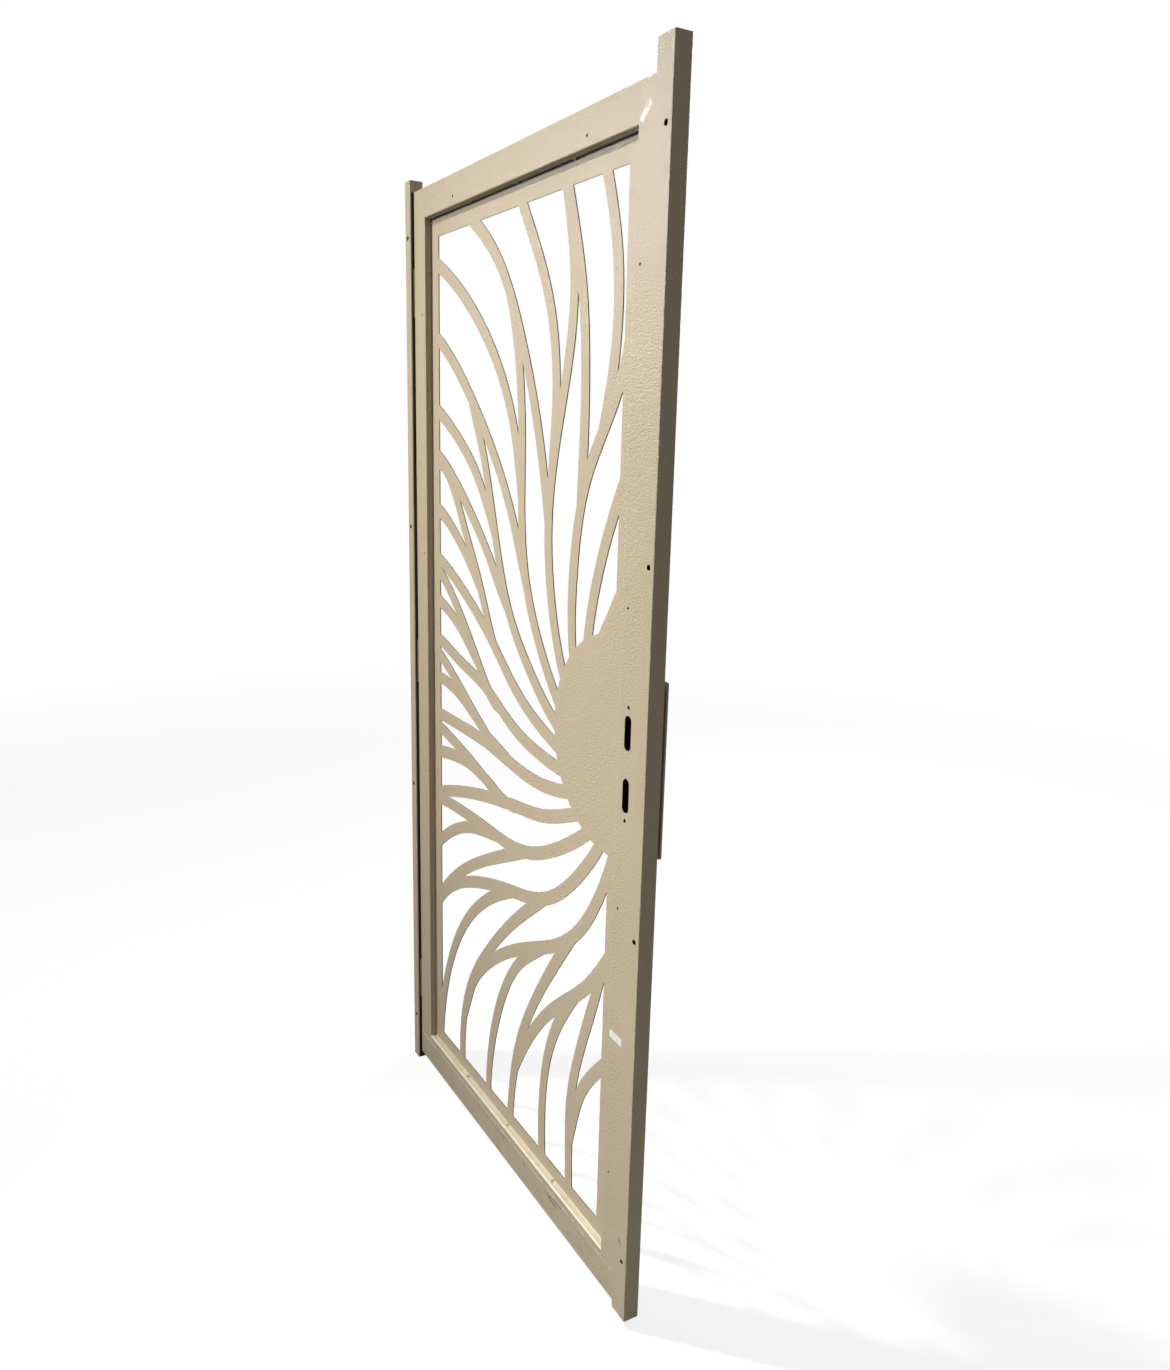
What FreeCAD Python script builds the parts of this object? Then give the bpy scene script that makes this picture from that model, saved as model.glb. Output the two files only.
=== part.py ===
import FreeCAD
import Part
import math
import os

# Steel security screen door: a tube-framed leaf with a laser-cut sunburst panel, hung on a hinge jamb.
# Millimetres. X runs from the hinge jamb to the strike jamb, Y from the inside to the outside, Z up.
# The origin lies on the hinge jamb's bearing face, on its centre line, level with the leaf's bottom edge.
Vector = FreeCAD.Vector
ALONG_X = Vector(1, 0, 0)
ALONG_Y = Vector(0, 1, 0)
ALONG_Z = Vector(0, 0, 1)

# Leaf: four lengths of rectangular tube, mitred and welded
leaf_width = 933.0
leaf_height = 2032.0
leaf_tube_width = 60.0
leaf_tube_depth = 30.0
leaf_tube_wall = 1.5
tube_corner_radius = 2.5

# Jambs: square tube, screwed to the wall through four holes each
jamb_tube_width = 30.0
jamb_tube_wall = 1.5
jamb_past_leaf = 42.0
hinge_jamb_drop = 18.0
strike_jamb_drop = 2.0
jamb_hole_diameter = 9.5
jamb_hole_from_end = 114.0
jamb_hole_count = 4

# Stop lip along the strike jamb, and the running gaps beside and behind it
stop_lip_width = 12.0
stop_lip_thickness = 1.5
strike_gap = 6.0
stop_gap = 5.0

# Panel: steel sheet halfway through the leaf's depth, with a folded flange along each edge
panel_thickness = 2.0
panel_edge_clearance = 0.3
flange_depth = 8.0
flange_thickness = 1.5
flange_fold_radius = 3.5

# Sunburst: what the sun and its rays leave open is cut out of the panel
field_border = 40.0
field_bottom_border = 47.0
sun_radius = 192.0
ray_width = 27.0
branch_end_width = 5.0
cutting_tolerance = 1.0

# Lock preparation in the lock stile
lock_height = 1016.0
lock_slot_width = 19.0
lock_slot_height = 59.0
lock_slot_spacing = 106.0
lock_screw_diameter = 7.0
lock_screw_spacing = 192.0

# Small holes for insert clips in the leaf's inside face
clip_hole_diameter = 5.0
clip_hole_from_opening = 18.0
clip_hole_top_inset = 206.0
clip_hole_from_end = 250.0
clip_hole_count = 4

# Latch guard on the leaf's outside face
guard_height = 295.0
guard_thickness = 3.2
guard_slot_clearance = 4.5
guard_past_leaf = 32.0

# Butt hinges: plates in the hinge gap, knuckles on the outside
hinge_height = 100.0
hinge_end_distance = 203.0
hinge_plate_thickness = 2.0
hinge_plate_gap = 1.0
hinge_plate_inset = 6.0
hinge_barrel_diameter = 12.0
hinge_pin_diameter = 6.0
hinge_pin_clearance = 0.08
hinge_knuckle_gap = 0.5
hinge_barrel_clearance = 1.5
hinge_plate_clearance = 0.7

# Places that follow from the sizes above
jamb_length = leaf_height + jamb_past_leaf
hinge_gap = 2 * hinge_plate_thickness + hinge_plate_gap
leaf_left = jamb_tube_width / 2 + hinge_gap
leaf_right = leaf_left + leaf_width
leaf_front = stop_lip_thickness + stop_gap
leaf_back = leaf_front + leaf_tube_depth
strike_left = leaf_right + strike_gap
opening_left = leaf_left + leaf_tube_width
opening_right = leaf_right - leaf_tube_width
opening_bottom = leaf_tube_width
opening_top = leaf_height - leaf_tube_width
panel_front = leaf_front + (leaf_tube_depth - panel_thickness) / 2
lock_line = leaf_right - leaf_tube_width / 2
guard_on_leaf = (leaf_tube_width - lock_slot_width) / 2 - guard_slot_clearance
hinge_axis_x = jamb_tube_width / 2 + hinge_gap / 2
hinge_axis_y = leaf_back + hinge_barrel_diameter / 2 + hinge_barrel_clearance

# How far a cutter runs past what it cuts
beyond = 10.0

os.makedirs("parts", exist_ok=True)


def box(low, high):
    """A block between two corners."""
    size = high - low
    return Part.makeBox(size.x, size.y, size.z, low)


def edges_along(shape, direction):
    """The straight edges of a block that run along one axis."""
    return [edge for edge in shape.Edges if abs(edge.tangentAt(edge.FirstParameter).dot(direction)) > 0.5]


def drill(x, y_from, y_to, z, diameter):
    """A round cutter along Y."""
    return Part.makeCylinder(diameter / 2, y_to - y_from, Vector(x, y_from, z), ALONG_Y)


def tube(width, depth, wall, length):
    """A rectangular tube up Z with rounded outer corners, one corner of its section at the origin."""
    block = Part.makeBox(width, depth, length)
    outer = block.makeFillet(tube_corner_radius, edges_along(block, ALONG_Z))
    inner = Part.makeBox(width - 2 * wall, depth - 2 * wall, length, Vector(wall, wall, 0))
    return outer.cut(inner)


def mitred_tube(length):
    """A leaf tube up Z with both ends cut at 45 degrees, its long side at X = 0."""
    bar = tube(leaf_tube_width, leaf_tube_depth, leaf_tube_wall, length)
    reach = leaf_tube_width + beyond
    low = Vector(-beyond, -beyond, -beyond)
    corners = [low, Vector(reach, -beyond, -beyond), Vector(reach, -beyond, reach), low]
    wedge = Part.Face(Part.makePolygon(corners)).extrude(ALONG_Y * (leaf_tube_depth + 2 * beyond))
    top_wedge = wedge.mirror(Vector(0, 0, length / 2), ALONG_Z)
    return bar.cut([wedge, top_wedge])


def jamb(left, drop):
    """A jamb tube with a row of mounting holes through both walls."""
    bar = tube(jamb_tube_width, jamb_tube_width, jamb_tube_wall, jamb_length)
    bar.translate(Vector(left, 0, -drop))
    step = (jamb_length - 2 * jamb_hole_from_end) / (jamb_hole_count - 1)
    centre = left + jamb_tube_width / 2
    heights = [jamb_hole_from_end - drop + step * place for place in range(jamb_hole_count)]
    holes = [drill(centre, -beyond, jamb_tube_width + beyond, z, jamb_hole_diameter) for z in heights]
    return bar.cut(holes)


def hinge_jamb():
    return jamb(-jamb_tube_width / 2, hinge_jamb_drop)


def strike_jamb():
    return jamb(strike_left, strike_jamb_drop)


def strike_stop():
    """The flat lip in front of the leaf's edge, welded into the jamb's round corner flush with its face."""
    low = Vector(strike_left - stop_lip_width, 0, -strike_jamb_drop)
    high = Vector(strike_left + tube_corner_radius, stop_lip_thickness, jamb_length - strike_jamb_drop)
    return box(low, high).cut(strike_jamb())


def clip_heights():
    """Heights of the clip holes: spread evenly up both stiles."""
    step = (leaf_height - 2 * clip_hole_from_end) / (clip_hole_count - 1)
    return [clip_hole_from_end + step * place for place in range(clip_hole_count)]


def clip_hole(x, z):
    return drill(x, leaf_front - beyond, leaf_front + leaf_tube_depth / 2, z, clip_hole_diameter)


def hinge_stile():
    bar = mitred_tube(leaf_height)
    bar.translate(Vector(leaf_left, leaf_front, 0))
    x = opening_left - clip_hole_from_opening
    return bar.cut([clip_hole(x, z) for z in clip_heights()])


def lock_slot(z):
    """A round-ended upright slot through the lock stile."""
    radius = lock_slot_width / 2
    straight = lock_slot_height / 2 - radius
    y_from = leaf_front - beyond
    y_to = leaf_back + beyond
    low = Vector(lock_line - radius, y_from, z - straight)
    high = Vector(lock_line + radius, y_to, z + straight)
    middle = box(low, high)
    ends = [drill(lock_line, y_from, y_to, z + side * straight, lock_slot_width) for side in (-1, 1)]
    return middle.fuse(ends).removeSplitter()


def lock_stile():
    bar = mitred_tube(leaf_height).mirror(Vector(0, 0, 0), ALONG_X)
    bar.translate(Vector(leaf_right, leaf_front, 0))
    x = opening_right + clip_hole_from_opening
    cutters = [clip_hole(x, z) for z in clip_heights()]
    for side in (-1, 1):
        cutters.append(lock_slot(lock_height + side * lock_slot_spacing / 2))
        screw_z = lock_height + side * lock_screw_spacing / 2
        screw = drill(lock_line, leaf_front - beyond, leaf_back + beyond, screw_z, lock_screw_diameter)
        cutters.append(screw)
    return bar.cut(cutters)


def top_rail():
    bar = mitred_tube(leaf_width)
    bar.rotate(Vector(0, 0, 0), ALONG_Y, 90)
    bar.translate(Vector(leaf_left, leaf_front, leaf_height))
    z = opening_top + clip_hole_from_opening
    places = (leaf_left + clip_hole_top_inset, leaf_right - clip_hole_top_inset)
    return bar.cut([clip_hole(x, z) for x in places])


def bottom_rail():
    bar = mitred_tube(leaf_width)
    bar.rotate(Vector(0, 0, 0), ALONG_Y, 90)
    bar = bar.mirror(Vector(0, 0, 0), ALONG_Z)
    bar.translate(Vector(leaf_left, leaf_front, 0))
    return bar


# The field is the part of the panel inside its plain border
field_left = opening_left + field_border
field_right = opening_right - field_border
field_bottom = opening_bottom + field_bottom_border
field_top = opening_top - field_border

# The same field on the drawing of the sunburst, which is measured from the leaf's lower hinge corner
drawn_left, drawn_right = 100.0, 833.0
drawn_bottom, drawn_top = 107.0, 1932.0
drawn_sun = (826.0, 1024.0)

# Middle lines of the rays that run from the border to the sun
drawn_rays = [
    [(852, 1760), (837, 1648), (815, 1600), (747, 1500), (711, 1420), (691, 1310), (687, 1230), (705, 1120)],
    [(637, 1950), (664, 1847), (673, 1755), (655, 1650), (617, 1510), (597, 1400), (602, 1300), (625, 1200),
     (680, 1090)],
    [(80, 1263), (150, 1245), (247, 1197), (349, 1138), (449, 1064), (548, 1010), (630, 982), (710, 965)],
    [(80, 1084), (150, 1070), (250, 1045), (350, 1018), (452, 974), (550, 948), (640, 938), (720, 945)],
    [(80, 911), (200, 910), (300, 907), (400, 900), (500, 887), (580, 886), (670, 898), (750, 925)],
    [(80, 714), (150, 741), (250, 768), (350, 788), (450, 805), (550, 817), (650, 843), (790, 900)],
    [(80, 705), (150, 711), (300, 716), (420, 716), (520, 725), (619, 762), (717, 817), (830, 920)],
    [(85, 448), (140, 498), (204, 536), (271, 566), (400, 604), (500, 628), (600, 656), (698, 722),
     (781, 808), (830, 890)],
    [(850, 1474), (813, 1406), (771, 1301), (747, 1211), (740, 1130)],
    [(770, 1170), (808, 1228), (844, 1283), (860, 1310)],
    [(820, 1150), (830, 1252)],
]

# Middle lines of the rays that end inside another ray, each from the border or the sun
drawn_branches = [
    [(710, 1010), (634, 1073), (573, 1148), (518, 1251), (491, 1380), (490, 1500), (480, 1630), (456, 1731),
     (368, 1866)],
    [(690, 1005), (601, 1042), (523, 1106), (446, 1189), (397, 1288), (361, 1388), (336, 1462), (294, 1547),
     (239, 1625)],
    [(850, 840), (800, 731), (745, 655), (646, 578), (544, 526), (446, 474), (374, 421), (312, 367),
     (263, 294), (224, 185)],
    [(761, 1950), (798, 1844), (812, 1735), (804, 1645), (775, 1545), (740, 1480)],
    [(641, 1950), (677, 1850), (702, 1760), (715, 1650), (716, 1540), (710, 1430), (697, 1345)],
    [(470, 1950), (538, 1850), (585, 1768), (610, 1680), (618, 1590), (607, 1480), (597, 1400)],
    [(240, 1954), (323, 1902), (385, 1850), (454, 1758), (511, 1648), (551, 1549), (580, 1449), (602, 1310)],
    [(80, 1883), (201, 1820), (297, 1751), (394, 1651), (453, 1555), (480, 1460), (492, 1360)],
    [(80, 1736), (144, 1700), (239, 1625), (335, 1535), (411, 1444), (468, 1351), (505, 1275), (545, 1195)],
    [(80, 1588), (148, 1555), (244, 1494), (290, 1456), (333, 1404), (365, 1360), (393, 1297)],
    [(80, 1492), (150, 1458), (247, 1387), (347, 1298), (424, 1214), (470, 1162)],
    [(80, 1475), (128, 1462), (165, 1432), (210, 1372), (248, 1317), (292, 1255), (337, 1179), (410, 1094)],
    [(80, 1374), (147, 1349), (218, 1303), (283, 1251), (330, 1192)],
    [(80, 1243), (128, 1219), (186, 1176), (246, 1121), (308, 1060), (360, 1010), (425, 986)],
    [(80, 1175), (148, 1155), (228, 1117), (296, 1069), (340, 1029)],
    [(80, 1055), (128, 1035), (198, 1000), (277, 956), (357, 917), (430, 899), (510, 886)],
    [(80, 996), (150, 991), (250, 964), (325, 933), (390, 906)],
    [(80, 882), (150, 869), (250, 848), (329, 826), (430, 804), (530, 815)],
    [(80, 818), (150, 829), (220, 835), (300, 831), (360, 819), (450, 803)],
    [(80, 591), (150, 642), (221, 676), (300, 701), (380, 713), (470, 720)],
    [(80, 449), (152, 522), (225, 575), (304, 623), (403, 672), (500, 715), (580, 745)],
    [(93, 90), (107, 195), (138, 291), (198, 402), (281, 500), (379, 573), (470, 619), (560, 643)],
    [(220, 90), (223, 180), (255, 291), (329, 404), (417, 500), (511, 585), (590, 646), (670, 702)],
    [(363, 90), (371, 195), (403, 307), (449, 403), (520, 492), (580, 537), (665, 590)],
    [(470, 90), (484, 205), (516, 313), (591, 452), (655, 545), (710, 617), (775, 690)],
    [(846, 645), (748, 529), (645, 441), (565, 349), (517, 279), (484, 190)],
    [(616, 90), (612, 190), (625, 310), (660, 405), (720, 497), (790, 570)],
    [(727, 90), (722, 200), (733, 336), (768, 450), (803, 545), (845, 645)],
    [(860, 450), (806, 391), (762, 328), (739, 262), (722, 160)],
]


def on_leaf(point):
    """A point of the drawing, moved to the panel's field at its real size."""
    across = (point[0] - drawn_left) / (drawn_right - drawn_left)
    up = (point[1] - drawn_bottom) / (drawn_top - drawn_bottom)
    x = field_left + across * (field_right - field_left)
    z = field_bottom + up * (field_top - field_bottom)
    return Vector(x, panel_front, z)


def curve_through(points):
    """A smooth curve that passes within the cutting tolerance of each point."""
    curve = Part.BSplineCurve()
    curve.approximate(Points=points, DegMin=3, DegMax=3, Tolerance=cutting_tolerance)
    return curve


def ray(drawn_points, end_width):
    """The flat band of one ray, half its width to each side of a smooth middle line."""
    points = [on_leaf(point) for point in drawn_points]
    middle = Part.BSplineCurve()
    middle.interpolate(points)
    widths = [ray_width] * (len(points) - 1) + [end_width]
    sides = [[], []]
    for point, width in zip(points, widths):
        along = middle.tangent(middle.parameter(point))[0]
        across = Vector(-along.z, 0, along.x) * (width / 2)
        sides[0].append(point + across)
        sides[1].append(point - across)
    edges = [curve_through(side).toShape() for side in sides]
    edges.append(Part.makeLine(sides[0][0], sides[1][0]))
    edges.append(Part.makeLine(sides[0][-1], sides[1][-1]))
    return Part.Face(Part.Wire(Part.__sortEdges__(edges)))


def rectangle(left, right, bottom, top, y):
    corners = [Vector(left, y, bottom), Vector(right, y, bottom), Vector(right, y, top), Vector(left, y, top)]
    return Part.makePolygon(corners + corners[:1])


def sunburst_panel():
    """The sheet, with every opening that the sun and the rays leave in the field cut through it."""
    field = Part.Face(rectangle(field_left, field_right, field_bottom, field_top, panel_front))
    sun = Part.Face(Part.Wire(Part.makeCircle(sun_radius, on_leaf(drawn_sun), ALONG_Y)))
    rays = [ray(points, ray_width) for points in drawn_rays]
    branches = [ray(points, branch_end_width) for points in drawn_branches]
    openings = field.cut([sun] + rays + branches)
    left = opening_left + panel_edge_clearance
    right = opening_right - panel_edge_clearance
    bottom = opening_bottom + panel_edge_clearance
    top = opening_top - panel_edge_clearance
    sheet = Part.Face(rectangle(left, right, bottom, top, panel_front))
    return sheet.cut(openings.Faces).extrude(ALONG_Y * panel_thickness)


def folded_strip(length):
    """A flange along X with its corner at the origin: flat on the tube, then a hollow fold up the sheet."""
    inset = flange_fold_radius * (1 - math.sqrt(0.5))
    fold_start = Vector(0, flange_depth - flange_fold_radius, flange_thickness)
    fold_middle = Vector(0, flange_depth - inset, flange_thickness + inset)
    fold_end = Vector(0, flange_depth, flange_thickness + flange_fold_radius)
    flat = [Vector(0, flange_depth, 0), Vector(0, 0, 0), Vector(0, 0, flange_thickness)]
    fold = Part.Arc(fold_start, fold_middle, fold_end).toShape()
    section = Part.Wire(Part.makePolygon([fold_end] + flat + [fold_start]).Edges + [fold])
    return Part.Face(section).extrude(ALONG_X * length)


def bottom_flange():
    strip = folded_strip(opening_right - opening_left)
    strip.translate(Vector(opening_left, panel_front - flange_depth, opening_bottom))
    return strip


def top_flange():
    return bottom_flange().mirror(Vector(0, 0, leaf_height / 2), ALONG_Z)


def hinge_side_flange():
    """The strip along the hinge stile, coped over the folds of the top and the bottom strip."""
    strip = folded_strip(opening_top - opening_bottom)
    strip.rotate(Vector(0, 0, 0), ALONG_Y, 90)
    strip.translate(Vector(opening_left, panel_front - flange_depth, opening_top))
    return strip.cut([top_flange(), bottom_flange()])


def lock_side_flange():
    return hinge_side_flange().mirror(Vector((leaf_left + leaf_right) / 2, 0, 0), ALONG_X)


def latch_guard():
    """The flat plate that covers the latch from outside: fixed to the leaf, clear of the strike jamb."""
    bottom = lock_height - guard_height / 2
    low = Vector(leaf_right - guard_on_leaf, leaf_back, bottom)
    high = Vector(leaf_right + guard_past_leaf, leaf_back + guard_thickness, bottom + guard_height)
    plate = box(low, high)
    return plate.makeFillet(guard_thickness, edges_along(plate, ALONG_Y))


hinge_centres = {
    "upper": leaf_height - hinge_end_distance,
    "middle": leaf_height / 2,
    "lower": hinge_end_distance,
}
knuckle_height = hinge_height / 3


def barrel(bottom, top):
    """A length of hinge knuckle, bored for the pin."""
    base = Vector(hinge_axis_x, hinge_axis_y, bottom)
    outer = Part.makeCylinder(hinge_barrel_diameter / 2, top - bottom, base, ALONG_Z)
    bore = Part.makeCylinder(hinge_pin_diameter / 2 + hinge_pin_clearance, top - bottom, base, ALONG_Z)
    return outer, bore


def hinge_plate(left, front, centre, spans):
    """A plate in the hinge gap, with a neck and a knuckle at each of the given spans of height."""
    neck_start = hinge_axis_y - hinge_barrel_diameter / 2 - hinge_plate_clearance
    right = left + hinge_plate_thickness
    bottom = centre - hinge_height / 2
    plate = box(Vector(left, front, bottom), Vector(right, neck_start, bottom + hinge_height))
    solids = []
    bores = []
    for low, high in spans:
        solids.append(box(Vector(left, neck_start, low), Vector(right, hinge_axis_y, high)))
        outer, bore = barrel(low, high)
        solids.append(outer)
        bores.append(bore)
    return plate.fuse(solids).removeSplitter().cut(bores)


def jamb_hinge_plate(centre):
    """The fixed half: top and bottom knuckles."""
    bottom = centre - hinge_height / 2
    top = centre + hinge_height / 2
    spans = [(bottom, bottom + knuckle_height), (top - knuckle_height, top)]
    return hinge_plate(jamb_tube_width / 2, hinge_plate_inset, centre, spans)


def leaf_hinge_plate(centre):
    """The moving half: one middle knuckle."""
    half = knuckle_height / 2 - hinge_knuckle_gap
    left = leaf_left - hinge_plate_thickness
    return hinge_plate(left, leaf_front + hinge_plate_inset, centre, [(centre - half, centre + half)])


def hinge_pin(centre):
    base = Vector(hinge_axis_x, hinge_axis_y, centre - hinge_height / 2)
    return Part.makeCylinder(hinge_pin_diameter / 2, hinge_height, base, ALONG_Z)


def export(name, shape):
    shape.exportStep("parts/" + name + ".step")


export("hinge_jamb", hinge_jamb())
export("strike_jamb", strike_jamb())
export("strike_stop", strike_stop())
export("hinge_stile", hinge_stile())
export("lock_stile", lock_stile())
export("top_rail", top_rail())
export("bottom_rail", bottom_rail())
export("sunburst_panel", sunburst_panel())
export("top_flange", top_flange())
export("bottom_flange", bottom_flange())
export("hinge_side_flange", hinge_side_flange())
export("lock_side_flange", lock_side_flange())
export("latch_guard", latch_guard())
for place, centre in hinge_centres.items():
    export(place + "_hinge_jamb_plate", jamb_hinge_plate(centre))
    export(place + "_hinge_leaf_plate", leaf_hinge_plate(centre))
    export(place + "_hinge_pin", hinge_pin(centre))
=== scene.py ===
import bmesh
import bpy
import math
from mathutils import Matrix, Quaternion, Vector


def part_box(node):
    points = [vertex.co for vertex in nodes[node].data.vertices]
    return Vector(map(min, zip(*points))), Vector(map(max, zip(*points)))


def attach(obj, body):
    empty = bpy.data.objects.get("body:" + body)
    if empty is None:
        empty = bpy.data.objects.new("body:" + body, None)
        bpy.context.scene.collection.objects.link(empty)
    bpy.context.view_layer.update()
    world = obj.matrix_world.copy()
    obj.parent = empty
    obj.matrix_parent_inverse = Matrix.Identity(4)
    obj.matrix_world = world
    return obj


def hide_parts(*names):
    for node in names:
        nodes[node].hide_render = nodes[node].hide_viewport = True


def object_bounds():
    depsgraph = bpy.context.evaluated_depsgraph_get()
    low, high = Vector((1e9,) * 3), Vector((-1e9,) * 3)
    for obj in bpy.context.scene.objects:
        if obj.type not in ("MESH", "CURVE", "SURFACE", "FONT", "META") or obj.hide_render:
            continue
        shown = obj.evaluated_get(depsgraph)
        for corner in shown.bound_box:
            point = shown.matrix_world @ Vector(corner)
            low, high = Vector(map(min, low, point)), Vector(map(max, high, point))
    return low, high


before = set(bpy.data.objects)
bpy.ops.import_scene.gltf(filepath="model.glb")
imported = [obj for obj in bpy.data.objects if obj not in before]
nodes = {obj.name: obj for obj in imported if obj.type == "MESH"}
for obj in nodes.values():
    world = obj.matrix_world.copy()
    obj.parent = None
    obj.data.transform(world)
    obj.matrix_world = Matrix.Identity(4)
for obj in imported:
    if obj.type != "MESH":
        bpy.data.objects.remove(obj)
cad_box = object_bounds()


# Jambs: two lengths of square steel tube that are screwed to the wall through four holes each.
# They are powder coated in satin almond with a fine orange peel, which is rubbed at the edges. The tubes are
# bare inside, painted near black there for the bare steel and the shade within. The hinge jamb's face deep in
# the gap beside the leaf is painted near black as the shade in that narrow gap.
almond = (0.530, 0.438, 0.301, 1.0)
rubbed_almond = (0.640, 0.555, 0.410, 1.0)
worn_primer = (0.110, 0.088, 0.062, 1.0)
pale_dust = (0.560, 0.520, 0.450, 1.0)
bare_and_shaded_inside = (0.018, 0.015, 0.012, 1.0)
painted_gap_shade = (0.020, 0.017, 0.014, 1.0)
coat_shine = 0.32
coat_roughness = (0.24, 0.36)
dust_dulling = 0.3
tone_drift = 0.07
peel_grain = 0.0028
peel_rise = 0.0010
rub_width = 0.0012
rub_patch = 0.03
tube_scuffs = 0.5
bevel_samples = 4


def place_node(tree, kind, inputs=None, **settings):
    """A shader node, with each named input set to a value or linked from a socket."""
    node = tree.nodes.new("ShaderNode" + kind)
    for name, value in settings.items():
        setattr(node, name, value)
    for name, value in (inputs or {}).items():
        if isinstance(value, bpy.types.NodeSocket):
            tree.links.new(value, node.inputs[name])
        else:
            node.inputs[name].default_value = value
    return node


def new_group(name, inputs, outputs):
    """An empty shader node group with named sockets, and its own sockets to link."""
    tree = bpy.data.node_groups.new(name, "ShaderNodeTree")
    for label, kind, value in inputs:
        socket = tree.interface.new_socket(label, in_out="INPUT", socket_type="NodeSocket" + kind)
        socket.default_value = value
    for label, kind in outputs:
        tree.interface.new_socket(label, in_out="OUTPUT", socket_type="NodeSocket" + kind)
    given = tree.nodes.new("NodeGroupInput").outputs
    result = tree.nodes.new("NodeGroupOutput").inputs
    return tree, given, result


def use_group(tree, group, inputs):
    """A node group placed in a material, with its inputs set."""
    node = tree.nodes.new("ShaderNodeGroup")
    node.node_tree = group
    for name, value in inputs.items():
        node.inputs[name].default_value = value
    return node.outputs


def arithmetic(tree, operation, first, second):
    return place_node(tree, "Math", {0: first, 1: second}, operation=operation).outputs[0]


def vector_math(tree, operation, first, second):
    """Two vectors combined: to a number by a distance or a dot product, and otherwise to a vector."""
    node = place_node(tree, "VectorMath", {0: first, 1: second}, operation=operation)
    return node.outputs["Value" if operation in ("DISTANCE", "DOT_PRODUCT") else "Vector"]


def scaled(tree, vector, factor):
    return place_node(tree, "VectorMath", {0: vector, "Scale": factor}, operation="SCALE").outputs["Vector"]


def between(tree, value, low, high):
    """Goes smoothly from 0 at the low value to 1 at the high one."""
    inputs = {"Value": value, "From Min": low, "From Max": high}
    return place_node(tree, "MapRange", inputs, interpolation_type="SMOOTHSTEP").outputs["Result"]


def spread(tree, low, high, value):
    """A 0 to 1 value, spread from low to high."""
    inputs = {"Value": value, "To Min": low, "To Max": high}
    return place_node(tree, "MapRange", inputs).outputs["Result"]


def own_place(tree):
    """Where a point lies on the piece itself, in metres."""
    return place_node(tree, "TexCoord").outputs["Object"]


def own_facing(tree):
    """Which way the surface faces, in the piece's own axes."""
    return place_node(tree, "TexCoord").outputs["Normal"]


def split(tree, vector):
    """A vector's X, Y and Z."""
    return place_node(tree, "SeparateXYZ", {0: vector}).outputs


def noise(tree, place, scale, detail=2.0, roughness=0.55):
    inputs = {"Vector": place, "Scale": scale, "Detail": detail, "Roughness": roughness}
    return place_node(tree, "TexNoise", inputs).outputs["Fac"]


def layer(tree, mask, below, above):
    """One colour over another, where the mask is 1."""
    return place_node(tree, "Mix", {0: mask, 6: below, 7: above}, data_type="RGBA").outputs[2]


grit_fineness = 3.3
grit_share = 0.25
peel_group, given, result = new_group("orange_peel", [("Grain", "Float", peel_grain)], [("Height", "Float")])
dimple_scale = arithmetic(peel_group, "DIVIDE", 1.0, given["Grain"])
dimples = noise(peel_group, own_place(peel_group), dimple_scale, detail=1.0)
grit_scale = arithmetic(peel_group, "MULTIPLY", dimple_scale, grit_fineness)
grit = noise(peel_group, own_place(peel_group), grit_scale, detail=0.0)
height = arithmetic(peel_group, "ADD", dimples, arithmetic(peel_group, "MULTIPLY", grit, grit_share))
peel_group.links.new(height, result["Height"])

mottle_share = 0.5
middle_tone = 0.75
tone_inputs = [("Color", "Color", almond), ("Drift", "Float", tone_drift)]
tone_group, given, result = new_group("coat_tone", tone_inputs, [("Color", "Color"), ("Mottle", "Float")])
cloud = noise(tone_group, own_place(tone_group), scale=3.0)
mottle = noise(tone_group, own_place(tone_group), scale=55.0, detail=4.0)
mixed = arithmetic(tone_group, "ADD", arithmetic(tone_group, "MULTIPLY", mottle, mottle_share), cloud)
uneven = arithmetic(tone_group, "SUBTRACT", mixed, middle_tone)
drift = arithmetic(tone_group, "MULTIPLY", uneven, given["Drift"])
brightness = arithmetic(tone_group, "ADD", drift, 1.0)
toned = place_node(tone_group, "HueSaturation", {"Value": brightness, "Color": given["Color"]})
tone_group.links.new(toned.outputs["Color"], result["Color"])
tone_group.links.new(mottle, result["Mottle"])

edge_inputs = [("Width", "Float", rub_width), ("Patch", "Float", rub_patch), ("Amount", "Float", 0.5)]
edge_group, given, result = new_group("rubbed_edges", edge_inputs, [("Mask", "Float")])
rounded = place_node(edge_group, "Bevel", {"Radius": given["Width"]}, samples=bevel_samples).outputs["Normal"]
facing = place_node(edge_group, "NewGeometry").outputs["Normal"]
along = vector_math(edge_group, "DOT_PRODUCT", rounded, facing)
edge = between(edge_group, arithmetic(edge_group, "SUBTRACT", 1.0, along), low=0.02, high=0.20)
patch_scale = arithmetic(edge_group, "DIVIDE", 1.0, given["Patch"])
patches = noise(edge_group, own_place(edge_group), patch_scale, detail=3.0)
rubbed = arithmetic(edge_group, "MULTIPLY", edge, between(edge_group, patches, low=0.42, high=0.66))
edge_group.links.new(arithmetic(edge_group, "MULTIPLY", rubbed, given["Amount"]), result["Mask"])

dust_group, given, result = new_group("settled_dust", [("Amount", "Float", 0.5)], [("Mask", "Float")])
upward = split(dust_group, place_node(dust_group, "NewGeometry").outputs["Normal"])["Z"]
flecks = noise(dust_group, own_place(dust_group), scale=45.0, detail=5.0)
flecks = between(dust_group, flecks, low=0.30, high=0.75)
settled = arithmetic(dust_group, "MULTIPLY", between(dust_group, upward, low=0.3, high=0.95), flecks)
dust_group.links.new(arithmetic(dust_group, "MULTIPLY", settled, given["Amount"]), result["Mask"])

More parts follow.
